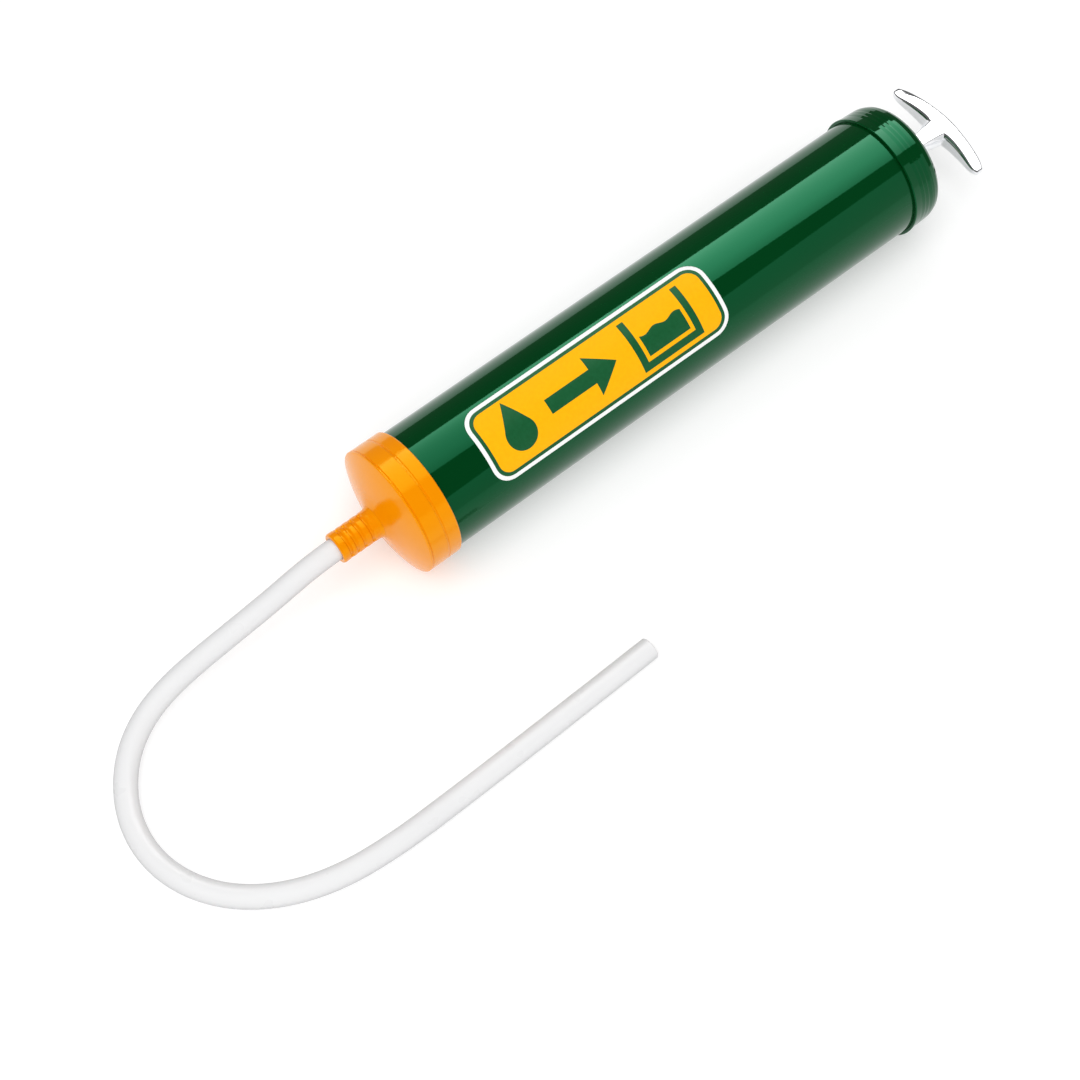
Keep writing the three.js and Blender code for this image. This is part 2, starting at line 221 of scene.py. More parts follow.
# -------------------------------------------------------------- mesh making
def link(name, mesh, material, body, replaces=(), sharp=32, weighted=True):
    obj = bpy.data.objects.new(name, mesh)
    scene.collection.objects.link(obj)
    if material is not None:
        mesh.materials.append(material)
    for poly in mesh.polygons:
        poly.use_smooth = True
    if sharp:
        mesh.set_sharp_from_angle(angle=math.radians(sharp))
    if weighted:
        mod = obj.modifiers.new("normals", "WEIGHTED_NORMAL")
        mod.keep_sharp = True
    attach(obj, body)
    if replaces:
        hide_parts(*replaces)
    return obj


def round_path(points, closed):
    """Corners given as (x, r, radius) become short arcs. Returns a list of (x, r)."""
    pts = [(float(p[0]), float(p[1]), float(p[2]) if len(p) > 2 else 0.0) for p in points]
    out, n = [], len(pts)
    for i, (x, r, rad) in enumerate(pts):
        if rad <= 0 or (not closed and i in (0, n - 1)):
            out.append((x, r))
            continue
        a = Vector((pts[i - 1][0] - x, pts[i - 1][1] - r))
        b = Vector((pts[(i + 1) % n][0] - x, pts[(i + 1) % n][1] - r))
        la, lb = a.length, b.length
        a.normalize(); b.normalize()
        half = math.acos(max(-1, min(1, a.dot(b)))) / 2
        if half > math.radians(88.5) or half < 0.02:
            out.append((x, r))
            continue
        cut = min(rad / math.tan(half), 0.49 * la, 0.49 * lb)
        rr = cut * math.tan(half)
        mid = (a + b).normalized() * (rr / math.sin(half))
        c = Vector((x, r)) + mid
        p0, p1 = Vector((x, r)) + a * cut, Vector((x, r)) + b * cut
        a0, a1 = math.atan2(p0.y - c.y, p0.x - c.x), math.atan2(p1.y - c.y, p1.x - c.x)
        d = (a1 - a0 + math.pi) % (2 * math.pi) - math.pi
        steps = max(2, min(10, int(abs(d) * max(rr, 0.25) / 0.16)))
        for k in range(steps + 1):
            t = a0 + d * k / steps
            out.append((c.x + rr * math.cos(t), c.y + rr * math.sin(t)))
    return out


def revolve_mesh(name, points, segs=128, closed=True, warp=None):
    """A turned solid. closed: the profile is a loop that never touches the axis; otherwise it starts and ends on it."""
    prof = round_path(points, closed)
    clean = []
    for p in prof:
        if not clean or (abs(p[0] - clean[-1][0]) + abs(p[1] - clean[-1][1])) > 1e-4:
            clean.append(p)
    prof = clean
    if closed and abs(prof[0][0] - prof[-1][0]) + abs(prof[0][1] - prof[-1][1]) < 1e-4:
        prof.pop()
    bm = bmesh.new()
    rings = []
    for x, r in prof:
        if r < 1e-6:
            rings.append([bm.verts.new(at(x, 0, 0))])
            continue
        ring = []
        for k in range(segs):
            t = 2 * math.pi * k / segs
            rr, xx = (r, x) if warp is None else warp(x, r, t)
            ring.append(bm.verts.new(at(xx, rr * math.cos(t), rr * math.sin(t))))
        rings.append(ring)
    count = len(rings) if closed else len(rings) - 1
    for i in range(count):
        a, b = rings[i], rings[(i + 1) % len(rings)]
        for k in range(segs):
            j = (k + 1) % segs
            if len(a) == 1 and len(b) == 1:
                continue
            if len(a) == 1:
                bm.faces.new((a[0], b[k], b[j]))
            elif len(b) == 1:
                bm.faces.new((a[k], a[j], b[0]))
            else:
                bm.faces.new((a[k], a[j], b[j], b[k]))
    bmesh.ops.recalc_face_normals(bm, faces=bm.faces)
    mesh = bpy.data.meshes.new(name)
    bm.to_mesh(mesh)
    bm.free()
    return mesh


def turned(name, points, material, body, replaces, segs=128, closed=True, sharp=32, warp=None):
    return link(name, revolve_mesh(name, points, segs, closed, warp), material, body, replaces, sharp)


# --------------------------------------------------------------------- hose
# The same route as the CAD model's, in millimetres in the row frame.
ROUTE = [
    (-177.6, 0.0, 30.00), (-185.2, 0.0, 29.60), (-195.1, 0.0, 28.13), (-210.7, -0.3, 24.94), (-228.3, -0.1, 21.20),
    (-245.9, 0.1, 17.53), (-261.6, -0.5, 14.31), (-276.9, -3.6, 11.28), (-290.7, -10.9, 8.70), (-301.5, -22.5, 6.77),
    (-308.3, -36.8, 5.51), (-310.2, -52.6, 5.10), (-306.9, -68.2, 5.05), (-299.0, -82.1, 5.05), (-287.6, -93.2, 5.05),
    (-272.0, -102.1, 5.05), (-252.9, -107.8, 5.05), (-229.0, -110.2, 5.05), (-201.0, -110.4, 5.05), (-171.0, -110.0, 5.05),
    (-141.1, -109.4, 5.05), (-113.1, -108.8, 5.05), (-97.0, -108.4, 5.05),
]
HOSE_R, HOSE_BORE = 5.0, 3.62


def catmull(points, step):
    """Centripetal Catmull-Rom curve through the points, resampled at an even step (mm)."""
    p = [np.array(q, float) for q in points]
    p = [2 * p[0] - p[1]] + p + [2 * p[-1] - p[-2]]
    dense = []
    for i in range(1, len(p) - 2):
        p0, p1, p2, p3 = p[i - 1:i + 3]
        t0 = 0.0
        t1 = t0 + np.linalg.norm(p1 - p0) ** 0.5
        t2 = t1 + np.linalg.norm(p2 - p1) ** 0.5
        t3 = t2 + np.linalg.norm(p3 - p2) ** 0.5
        for t in np.linspace(t1, t2, 24, endpoint=False):
            a1 = (t1 - t) / (t1 - t0) * p0 + (t - t0) / (t1 - t0) * p1
            a2 = (t2 - t) / (t2 - t1) * p1 + (t - t1) / (t2 - t1) * p2
            a3 = (t3 - t) / (t3 - t2) * p2 + (t - t2) / (t3 - t2) * p3
            b1 = (t2 - t) / (t2 - t0) * a1 + (t - t0) / (t2 - t0) * a2
            b2 = (t3 - t) / (t3 - t1) * a2 + (t - t1) / (t3 - t1) * a3
            dense.append((t2 - t) / (t2 - t1) * b1 + (t - t1) / (t2 - t1) * b2)
    dense.append(p[-2])
    dense = np.array(dense)
    s = np.concatenate([[0], np.cumsum(np.linalg.norm(np.diff(dense, axis=0), axis=1))])
    n = max(2, int(round(s[-1] / step)))
    u = np.linspace(0, s[-1], n + 1)
    return np.stack([np.interp(u, s, dense[:, k]) for k in range(3)], 1)


def make_hose():
    seat = at(-27.0, 0, 0) / MM                    # pushed up to the stop inside the collar
    inner = [(seat.x, 0.0, 30.0), (-172.0, 0.0, 30.0)]
    line = catmull(inner + ROUTE, 2.4)
    # a light smoothing keeps the curve fair
    for _ in range(6):
        line[1:-1] = (line[:-2] + 2 * line[1:-1] + line[2:]) / 4
    line[:, 2] = np.maximum(line[:, 2], HOSE_R + 0.03)
    tangent = np.gradient(line, axis=0)
    tangent /= np.linalg.norm(tangent, axis=1)[:, None]
    up = np.array([0.0, 0.0, 1.0])
    bm = bmesh.new()
    segs = 40
    outer, inner_rings = [], []
    side = np.cross(up, tangent[0])
    for i, (c, t) in enumerate(zip(line, tangent)):
        side = side - t * side.dot(t)
        side /= np.linalg.norm(side)
        top = np.cross(t, side)
        end = min(i, len(line) - 1 - i)
        ro, ri = HOSE_R, HOSE_BORE
        if i == len(line) - 1:
            ro, ri = HOSE_R - 0.25, HOSE_BORE + 0.12      # the cut edge is a little dulled
        ring_o, ring_i = [], []
        for k in range(segs):
            a = 2 * math.pi * k / segs
            d = side * math.cos(a) + top * math.sin(a)
            ring_o.append(bm.verts.new(Vector(c + d * ro) * MM))
            ring_i.append(bm.verts.new(Vector(c + d * ri) * MM))
        outer.append(ring_o)
        inner_rings.append(ring_i)
        if i == len(line) - 2:                             # ring just behind the cut
            c2 = line[-1] - tangent[-1] * 0.25
            ro2, ri2 = [], []
            for k in range(segs):
                a = 2 * math.pi * k / segs
                d = side * math.cos(a) + top * math.sin(a)
                ro2.append(bm.verts.new(Vector(c2 + d * HOSE_R) * MM))
                ri2.append(bm.verts.new(Vector(c2 + d * HOSE_BORE) * MM))
            outer.append(ro2)
            inner_rings.append(ri2)
    for rows in (outer, inner_rings):
        for a, b in zip(rows, rows[1:]):
            for k in range(segs):
                j = (k + 1) % segs
                bm.faces.new((a[k], a[j], b[j], b[k]))
    for row_o, row_i in ((outer[0], inner_rings[0]), (outer[-1], inner_rings[-1])):
        for k in range(segs):
            j = (k + 1) % segs
            bm.faces.new((row_o[k], row_o[j], row_i[j], row_i[k]))
    bmesh.ops.recalc_face_normals(bm, faces=bm.faces)
    mesh = bpy.data.meshes.new("suction_hose")
    bm.to_mesh(mesh)
    bm.free()
    obj = link("suction_hose", mesh, HOSE, "barrel", ("hose",), sharp=40, weighted=False)
    return obj


make_hose()

# ------------------------------------------------------------ barrel pieces
turned("barrel_shell", [
    (-10.0, 27.5, 0.15), (-10.0, BARREL_R, 0.2), (270.5, BARREL_R, 0.2), (270.5, 27.5, 0.15),
], GREEN, "barrel", ("barrel_tube",), segs=224)

# Nose cap: crisp rim bead with a fine line behind it, shallow wall groove,
# low dome that sweeps into the neck.
turned("nose_cap_cast", [
    (-22.88, 4.6, 0.3), (-22.88, 7.9, 0.1), (-22.72, 8.25, 0.3), (-22.15, 9.5, 1.2), (-21.5, 11.2, 2.0), (-20.85, 13.4, 3.0), (-20.2, 16.2, 3.0),
    (-19.35, 19.6, 3.0), (-18.3, 23.2, 3.0), (-17.3, 26.2, 2.0), (-16.4, 28.5, 1.0), (-16.0, 29.5, 0.35), (-15.65, 30.0, 0.15),
    (-15.3, 29.97, 0.1), (-15.12, 29.55, 0.06), (-14.8, 29.55, 0.06), (-14.55, 29.95, 0.12),
    (-7.15, 30.0, 0.2), (-6.9, 29.55, 0.12), (-6.2, 29.5, 0.12), (-5.95, 29.9, 0.2),
    (-0.45, 29.95, 0.3), (0.0, 29.5, 0.2), (0.0, 28.62, 0.1), (-12.0, 28.62, 0.3), (-12.0, 23.0, 0.4),
    (-15.5, 21.0, 1.0), (-17.0, 9.5, 0.6), (-17.0, 4.6, 0.3),
], ORANGE, "barrel", ("nose_cap",), segs=224, sharp=40)


def collar_warp(x, r, t):
    """Short webs bridge the grooves, two opposite each other in every groove, so that the grooves read as slots."""
    if r < 5.2 or r > 6.95 or x < -41.0 or x > -25.4:
        return r, x
    web = max(0.0, abs(math.sin(t + math.radians(60.0))) - 0.90) / 0.10
    web = min(1.0, web * 2.2)
    return r + (6.85 - r) * web, x


# Hose collar: grooves broken by webs, a plain band at the mouth, flared foot.
_collar = [(MOUTH, 5.08, 0.25), (MOUTH, 6.75, 0.45), (-42.6, 7.05, 0.4), (-40.6, 7.02, 0.3)]
for _x, _d in ((-39.2, 0.95), (-35.9, 0.80), (-32.1, 0.80), (-27.9, 0.80)):
    _collar += [(_x - 0.95, 7.0, 0.3), (_x - 0.45, 7.0 - _d, 0.3), (_x + 0.45, 7.0 - _d, 0.3), (_x + 0.95, 7.0, 0.3)]
_collar += [(-25.6, 7.0, 0.5), (-24.4, 7.12, 1.0), (-23.5, 7.45, 0.8), (FOOT, 7.88, 0.03), (FOOT, 4.6, 0.2), (-27.2, 4.6, 0.2), (-27.2, 5.08, 0.1)]
turned("hose_collar", _collar, ORANGE, "barrel", ("hose_ferrule",), segs=144, sharp=45, warp=collar_warp)

# Rear cap: lip with a fine dark line, slightly tapering skirt with faint rolled rings, round shoulder.
_cap = [(REAR_SEAM, 28.62, 0.1), (REAR_SEAM, 29.75, 0.25), (REAR_SEAM + 0.4, 30.0, 0.2)]
for _i in range(3):
    _x = 264.6 + 2.4 * _i
    _r = 29.55 - 0.045 * (_x - 264.6)
    _cap += [(_x - 0.9, _r, 0.8), (_x, _r - 0.007, 0.8), (_x + 0.9, _r, 0.8)]
_cap += [(272.0, 29.15, 1.5), (274.4, 28.4, 2.5), (276.2, 26.9, 2.5), (277.2, 24.6, 2.5), (REAR_FACE, 21.5, 2.0), (REAR_FACE, 9.6, 0.4),
         (277.1, 9.1, 0.3), (277.1, 7.8, 0.2), (274.5, 7.8, 0.2), (274.5, 27.2, 0.8), (273.2, 28.62, 0.3)]
turned("rear_cap_pressed", _cap, GREEN, "barrel", ("rear_cap",), segs=224, sharp=40)

turned("cap_gasket", [(-11.8, 25.2, 0.3), (-11.8, 28.4, 0.3), (-10.2, 28.4, 0.3), (-10.2, 25.2, 0.3)],
       RUBBER, "barrel", ("nose_gasket",), segs=96)
turned("barb_seal", [(-16.9, 4.6, 0.2), (-16.9, 8.0, 0.3), (-15.5, 8.0, 0.3), (-15.5, 4.6, 0.2)],
       RUBBER, "barrel", ("barb_washer",), segs=64)
_barb = [(-41.0, 2.0, 0.2), (-41.0, 2.7, 0.2)]
for _x in (-38.2, -35.4, -32.6):
    _barb += [(_x, 3.35, 0.1), (_x + 0.1, 2.8, 0.1)]
_barb += [(-24.2, 2.8, 0.2), (-24.0, 4.2, 0.2), (-15.4, 4.2, 0.2), (-15.4, 7.5, 0.3), (-12.9, 7.5, 0.5), (-12.9, 2.0, 0.3)]
turned("hose_tail", _barb, BRASS, "barrel", ("hose_barb",), segs=64)
turned("guide_bush", [(271.4, 4.15, 0.3), (271.4, 12.0, 0.3), (274.2, 12.0, 0.3), (274.2, 7.6, 0.1), (278.3, 7.6, 0.5), (278.3, 4.15, 0.4)],
       NYLON, "barrel", ("rod_bush",), segs=96)
turned("felt_wiper", [(266.8, 4.15, 0.4), (266.8, 7.5, 0.5), (271.1, 7.5, 0.5), (271.1, 4.15, 0.4)],
       FELT, "barrel", ("rod_wiper",), segs=64)
turned("wiper_cup_washer", [(264.9, 4.5, 0.2), (264.9, 12.0, 0.4), (266.5, 12.0, 0.3), (266.5, 4.5, 0.2)],
       ZINC, "barrel", ("wiper_washer",), segs=64)

# ------------------------------------------------------------------- piston
turned("front_plate", [(-3.4, 4.35, 0.2), (-3.4, 21.0, 0.5), (-1.4, 21.0, 0.3), (-1.4, 4.35, 0.2)],
       ZINC, "piston", ("cup_plate_front",), segs=96)
turned("front_cup", [
    (1.9, 4.35, 0.2), (-1.1, 4.35, 0.2), (-1.1, 23.2, 1.6), (-3.0, 24.8, 1.6), (-9.0, 26.1, 0.4), (-9.0, 27.3, 0.3), (-2.0, 27.1, 2.0), (1.0, 26.8, 1.0), (1.9, 25.4, 0.8),
], RUBBER, "piston", ("piston_cup_front",), segs=160)
turned("centre_spacer", [(2.2, 4.35, 0.2), (2.2, 22.0, 0.6), (8.2, 22.0, 0.6), (8.2, 4.35, 0.2)],
       NYLON, "piston", ("piston_spacer",), segs=96)
turned("rear_cup", [
    (8.5, 4.35, 0.2), (8.5, 25.4, 0.8), (9.4, 26.8, 1.0), (12.4, 27.1, 2.0), (19.4, 27.3, 0.3), (19.4, 26.1, 0.4), (13.4, 24.8, 1.6), (11.5, 23.2, 1.6), (11.5, 4.35, 0.2),
], RUBBER, "piston", ("piston_cup_rear",), segs=160)
turned("rear_plate", [(11.8, 4.35, 0.2), (11.8, 21.0, 0.3), (13.8, 21.0, 0.5), (13.8, 4.35, 0.2)],
       ZINC, "piston", ("cup_plate_rear",), segs=96)


# ------------------------------------------------------------------ plunger
def thread(profile_start, x0, x1, r_major, pitch=1.25, depth=0.5):
    pts = []
    n = int((x1 - x0) / pitch)
    for i in range(n):
        x = x0 + i * pitch
        pts += [(x + 0.12, r_major - depth, 0.05), (x + pitch * 0.5 - 0.08, r_major, 0.05), (x + pitch * 0.5 + 0.08, r_major, 0.05)]
    return pts


_rod = [(-11.4, 0.0), (-11.4, 3.0, 0.2), (-10.9, 3.5, 0.1)]
_rod += thread(None, -10.7, 19.2, 3.85)
_rod += [(19.3, 3.9, 0.1), (19.6, 4.0, 0.1), (268.0, 4.0), (279.6, 4.0, 0.1)]
_rod += thread(None, 279.8, 285.2, 4.0, depth=0.45)
_rod += thread(None, 285.2, 294.9, 3.5, depth=0.4)
_rod += [(295.3, 3.1, 0.1), (295.6, 0.0)]
turned("plunger_shaft", _rod, STEEL, "plunger", ("plunger_rod",), segs=64, closed=False, sharp=40)


def nut(name, x0, x1, flats, bore, material, body, replaces, spin=0.0):
    """Hex nut with chamfered corners and a countersunk bore."""
    segs = 96
    crown = flats / 2 * 1.07
    rows = [(x0, bore + 0.35, False), (x0, flats / 2 * 0.96, False), (x0 + 0.55, crown * 1.02, True), (x0 + 1.05, 99, True),
            (x1 - 1.05, 99, True), (x1 - 0.55, crown * 1.02, True), (x1, flats / 2 * 0.96, False), (x1, bore + 0.35, False),
            (x1 - 0.4, bore, False), (x0 + 0.4, bore, False)]
    bm = bmesh.new()
    rings = []
    for x, r, hexed in rows:
        ring = []
        for k in range(segs):
            t = 2 * math.pi * k / segs + spin
            a = (t - spin) % (math.pi / 3) - math.pi / 6
            rh = flats / 2 / math.cos(a)
            rr = min(r, rh) if hexed else r
            ring.append(bm.verts.new(at(x, rr * math.cos(t), rr * math.sin(t))))
        rings.append(ring)
    for i in range(len(rings)):
        a, b = rings[i], rings[(i + 1) % len(rings)]
        for k in range(segs):
            j = (k + 1) % segs
            bm.faces.new((a[k], a[j], b[j], b[k]))
    bmesh.ops.recalc_face_normals(bm, faces=bm.faces)
    mesh = bpy.data.meshes.new(name)
    bm.to_mesh(mesh)
    bm.free()
    return link(name, mesh, material, body, replaces, sharp=24)


nut("tip_nut", -10.6, -5.6, 13.0, 3.95, ZINC, "plunger", ("front_nut",))
nut("stack_nut", 14.1, 19.1, 13.0, 3.95, ZINC, "plunger", ("rear_nut",))
nut("grip_nut", 280.4, 284.8, 13.0, 4.05, ZINC, "plunger", ("handle_nut",))
turned("spring_washer", [(-5.3, 4.0, 0.2), (-5.3, 7.2, 0.3), (-3.7, 7.2, 0.3), (-3.7, 4.0, 0.2)],
       ZINC, "plunger", ("lock_washer",), segs=64)


HANDLE_TILT = math.radians(4.5)       # how far the bar is turned about the rod at rest, the +Y arm up


def make_handle():
    """Cast T-handle: a subdivision cage. The bar has a nearly flat top and bottom, a round outer side and a steep inner
    face; the stem grows out of the inner face through a fillet and keeps the same flats."""
    # distance along the arm, outer x, inner x, half thickness
    stations = [
        (0.0, 309.75, 300.1, 4.75),
        (4.6, 309.6, 300.2, 4.70),
        (8.6, 309.25, 300.75, 4.35),
        (13.5, 308.75, 300.6, 3.90),
        (18.5, 307.85, 300.15, 3.20),
        (22.6, 306.95, 299.6, 2.42),
        (25.4, 305.95, 299.45, 1.85),
        (27.1, 304.7, 299.9, 1.62),
    ]
    full = [(-y, a, b, c) for (y, a, b, c) in reversed(stations[1:])] + stations
    bm = bmesh.new()
    crease = bm.edges.layers.float.new("crease_edge")
    ct, st = math.cos(HANDLE_TILT), math.sin(HANDLE_TILT)

    def spot(x, y, z):
        return bm.verts.new(at(x, y * ct - z * st, y * st + z * ct))

    rings = []
    for y, xo, xi, h in full:
        k = min(1.0, (xo - xi) / 8.5)
        sec = [(xo, 0.0), (xo - 0.25 * k, 0.58 * h), (xo - 1.3 * k, 0.98 * h), (xo - 2.9 * k, 1.06 * h), (xi + 1.05 * k, 1.05 * h), (xi - 0.10, 0.74 * h),
               (xi + 0.10, 0.0), (xi - 0.10, -0.74 * h), (xi + 1.05 * k, -1.05 * h), (xo - 2.9 * k, -1.06 * h), (xo - 1.3 * k, -0.98 * h), (xo - 0.25 * k, -0.58 * h)]
        rings.append([spot(x, y, z) for x, z in sec])
    n = len(rings)
    mid = n // 2
    skip = {(i, k) for i in (mid - 1, mid) for k in (4, 5, 6, 7)}
    sharp_edges = []
    for i in range(n - 1):
        for k in range(12):
            if (i, k) in skip:
                continue
            j = (k + 1) % 12
            bm.faces.new((rings[i][k], rings[i][j], rings[i + 1][j], rings[i + 1][k]))
        if i not in (mid - 1, mid):
            for k, w in ((4, 0.12), (8, 0.12), (5, 0.25), (7, 0.25)):
                sharp_edges.append((rings[i][k], rings[i + 1][k], w))
    # tips: two smaller rings round the end off
    for end, sgn in ((0, -1), (n - 1, 1)):
        ring = rings[end]
        xc, hh = 302.35, 1.5
        last = ring
        for grow, yy in ((0.80, 28.25), (0.40, 28.45)):
            nxt = []
            for v in ring:
                q = v.co - at(0, 0, 0)
                x = q.x / MM
                z = (-q.y * st + q.z * ct) / MM
                nxt.append(spot(xc + (x - xc) * grow, sgn * yy, z * grow))
            for k in range(12):
                j = (k + 1) % 12
                bm.faces.new((last[k], last[j], nxt[j], nxt[k]))
            last = nxt
        bm.faces.new(last)
    # stem: the loop left open on the inner face, 12 points
    a, b, c = rings[mid - 1], rings[mid], rings[mid + 1]
    loop = [a[4], b[4], c[4], c[5], c[6], c[7], c[8], b[8], a[8], a[7], a[6], a[5]]

    def stem_ring(x, half, flat, h):
        pts = [(-flat, h), (0, h), (flat, h), (half * 0.88, h * 0.5), (half, 0), (half * 0.88, -h * 0.5),
               (flat, -h), (0, -h), (-flat, -h), (-half * 0.88, -h * 0.5), (-half, 0), (-half * 0.88, h * 0.5)]
        return [spot(x, y, z) for y, z in pts]

    prev = loop
    made = []
    for x, half, flat, h in ((299.2, 7.2, 4.1, 4.85), (297.2, 6.25, 3.8, 4.72), (294.0, 5.75, 3.5, 4.55), (291.0, 5.2, 3.2, 4.4),
                             (288.2, 4.95, 3.1, 4.3), (285.6, 4.9, 3.05, 4.25), (285.15, 4.8, 2.95, 4.15)):
        ring = stem_ring(x, half, flat, h)
        for k in range(12):
            j = (k + 1) % 12
            bm.faces.new((prev[k], prev[j], ring[j], ring[k]))
        for k in (0, 2, 6, 8):
            sharp_edges.append((prev[k], ring[k], 0.55))
        made.append(ring)
        prev = ring
    # end face with the bore
    for x, r in ((285.1, 4.0), (285.1, 3.66), (285.6, 3.66), (296.0, 3.66), (296.2, 3.4)):
        ring = []
        for k in range(12):
            base = made[-1][k].co - at(0, 0, 0)
            t = math.atan2(base.z, base.y)
            ring.append(bm.verts.new(at(x, r * math.cos(t), r * math.sin(t))))
        for k in range(12):
            j = (k + 1) % 12
            bm.faces.new((prev[k], prev[j], ring[j], ring[k]))
        prev = ring
    bm.faces.new(prev)
    for v0, v1, w in sharp_edges:
        e = bm.edges.get((v0, v1))
        if e is not None:
            e[crease] = w
    for k in range(12):
        e = bm.edges.get((made[-1][k], made[-1][(k + 1) % 12]))
        if e is not None:
            e[crease] = 0.5
    bmesh.ops.recalc_face_normals(bm, faces=bm.faces)
    mesh = bpy.data.meshes.new("cast_handle")
    bm.to_mesh(mesh)
    bm.free()
    obj = link("cast_handle", mesh, CHROME, "plunger", ("t_handle",), sharp=0, weighted=False)
    sub = obj.modifiers.new("surface", "SUBSURF")
    sub.levels = 3
    sub.render_levels = 3
    return obj


make_handle()

# -------------------------------------------------------------------- label
LABEL_X0, LABEL_X1 = 23.6, 152.4
LABEL_MID = math.radians(30.0)
LABEL_HALF = BARREL_R * math.radians(36.3)      # half height along the arc


def rounded_rect(x0, x1, v0, v1, rad, steps=10):
    pts = []
    for cx, cy, a0 in ((x1 - rad, v1 - rad, 0), (x0 + rad, v1 - rad, 90), (x0 + rad, v0 + rad, 180), (x1 - rad, v0 + rad, 270)):
        for k in range(steps + 1):
            t = math.radians(a0 + 90 * k / steps)
            pts.append((cx + rad * math.cos(t), cy + rad * math.sin(t)))
    return pts


def wrapped(name, outline, holes, radius, thick, material, slot, replaces=()):
    """A thin printed shape wrapped round the barrel. The outline is (x along the barrel, v along the arc), in mm."""
    bm = bmesh.new()
    edges = []
    for loop in [outline] + list(holes):
        vs = [bm.verts.new((x, v, 0)) for x, v in loop]
        for i in range(len(vs)):
            edges.append(bm.edges.new((vs[i], vs[(i + 1) % len(vs)])))
    bmesh.ops.triangle_fill(bm, edges=edges, use_beauty=True, use_dissolve=False)
    lo = min(v for _, v in outline)
    hi = max(v for _, v in outline)
    step = BARREL_R * math.radians(1.5)
    k = math.ceil(lo / step) * step
    while k < hi - 1e-6:
        if k > lo + 1e-6:
            bmesh.ops.bisect_plane(bm, geom=bm.verts[:] + bm.edges[:] + bm.faces[:], plane_co=(0, k, 0), plane_no=(0, 1, 0), dist=1e-5)
        k += step
    for v in bm.verts:
        x, a = v.co.x, v.co.y / BARREL_R + LABEL_MID
        v.co = at(x, -radius * math.sin(a), radius * math.cos(a))
    bmesh.ops.recalc_face_normals(bm, faces=bm.faces)
    axis = at(0, 0, 0)
    f = bm.faces[:][0]
    centre = f.calc_center_median()
    if f.normal.dot(Vector((0, centre.y - axis.y, centre.z - axis.z))) < 0:
        bmesh.ops.reverse_faces(bm, faces=bm.faces)
    mesh = bpy.data.meshes.new(name)
    bm.to_mesh(mesh)
    bm.free()
    obj = link(name, mesh, material, "barrel", replaces, sharp=30, weighted=False)
    mod = obj.modifiers.new("film", "SOLIDIFY")
    mod.thickness = thick * MM
    mod.offset = 1.0
    flat = obj.modifiers.new("normals", "WEIGHTED_NORMAL")
    flat.weight = 100
    return obj


def make_label():
    x0, x1, h = LABEL_X0, LABEL_X1, LABEL_HALF
    r = BARREL_R
    wrapped("label_base", rounded_rect(x0, x1, -h, h, 9.0), [], r + 0.02, 0.06, GREEN_INK, "label_film", ("label_film",))
    wrapped("label_border", rounded_rect(x0 + 0.15, x1 - 0.15, -h + 0.15, h - 0.15, 8.9),
            [rounded_rect(x0 + 2.0, x1 - 2.0, -h + 2.0, h - 2.0, 7.1)], r + 0.075, 0.03, WHITE_INK, "label_film")
    wrapped("label_panel", rounded_rect(x0 + 3.7, x1 - 3.7, -h + 3.7, h - 3.7, 5.6), [], r + 0.075, 0.03, ORANGE_INK, "label_film")

    def drop(cx, cy, size, up=1):
        pts = []
        rr = size * 0.5
        for k in range(33):
            t = math.radians(-90 - 125 + 250 * k / 32)
            pts.append((cx + rr * math.cos(t), cy - size * 0.22 + rr * math.sin(t)))
        pts.append((cx, cy + size * 0.86))
        return [(x, v * up) for x, v in pts]

    def arrow(xa, xb, cy, w, head, hw):
        return [(xa, cy - w), (xb - head, cy - w), (xb - head, cy - hw), (xb, cy), (xb - head, cy + hw), (xb - head, cy + w), (xa, cy + w)]

    # generic pictogram: an oil drop, an arrow, and an open can with its level
    layer = dict(radius=r + 0.107, thick=0.03, material=GREEN_INK, slot="label_film")
    wrapped("label_drop", drop(43.0, 0.6, 14.6, -1), [], **layer)
    wrapped("label_arrow", arrow(59.0, 96.0, 0.0, 3.4, 13.0, 9.4), [], **layer)
    can = [(105.0, -12.0), (108.4, -12.0), (108.4, 8.9), (134.6, 8.9), (134.6, -12.0), (138.0, -12.0), (138.0, 12.3), (105.0, 12.3)]
    wrapped("label_can", can, [], **layer)
    level = [(110.2, -2.6)] + [(110.2 + 22.6 * k / 24, -2.6 + 0.7 * math.sin(2 * math.pi * k / 12)) for k in range(1, 24)] + [(132.8, -2.6), (132.8, 7.1), (110.2, 7.1)]
    wrapped("label_level", level, [], **layer)


make_label()

# -------------------------------------------------------------- floor, light
floor_mesh = bpy.data.meshes.new("floor")
floor_mesh.from_pydata([(-30, -30, 0), (30, -30, 0), (30, 30, 0), (-30, 30, 0)], [], [(0, 1, 2, 3)])
floor = bpy.data.objects.new("floor", floor_mesh)
scene.collection.objects.link(floor)
_fm, _fnt, _fp = new_material("pale_floor")
_fp.inputs["Base Color"].default_value = (0.72, 0.72, 0.72, 1)
_fp.inputs["Roughness"].default_value = 0.9
_fp.inputs["Specular IOR Level"].default_value = 0.1
# The floor glows, from 0.34 near the origin to 0.50 four metres out: painted light that lifts its shadows and evens out
# the key's falloff.
_fp.inputs["Emission Color"].default_value = (1, 1, 1, 1)
_fl = _fnt.nodes.new("ShaderNodeVectorMath")
_fl.operation = "LENGTH"
_fnt.links.new(coords(_fnt), _fl.inputs[0])
_fnt.links.new(remap(_fnt, _fl.outputs["Value"], 0.9, 4.0, 0.34, 0.50), _fp.inputs["Emission Strength"])
floor_mesh.materials.append(_fm)

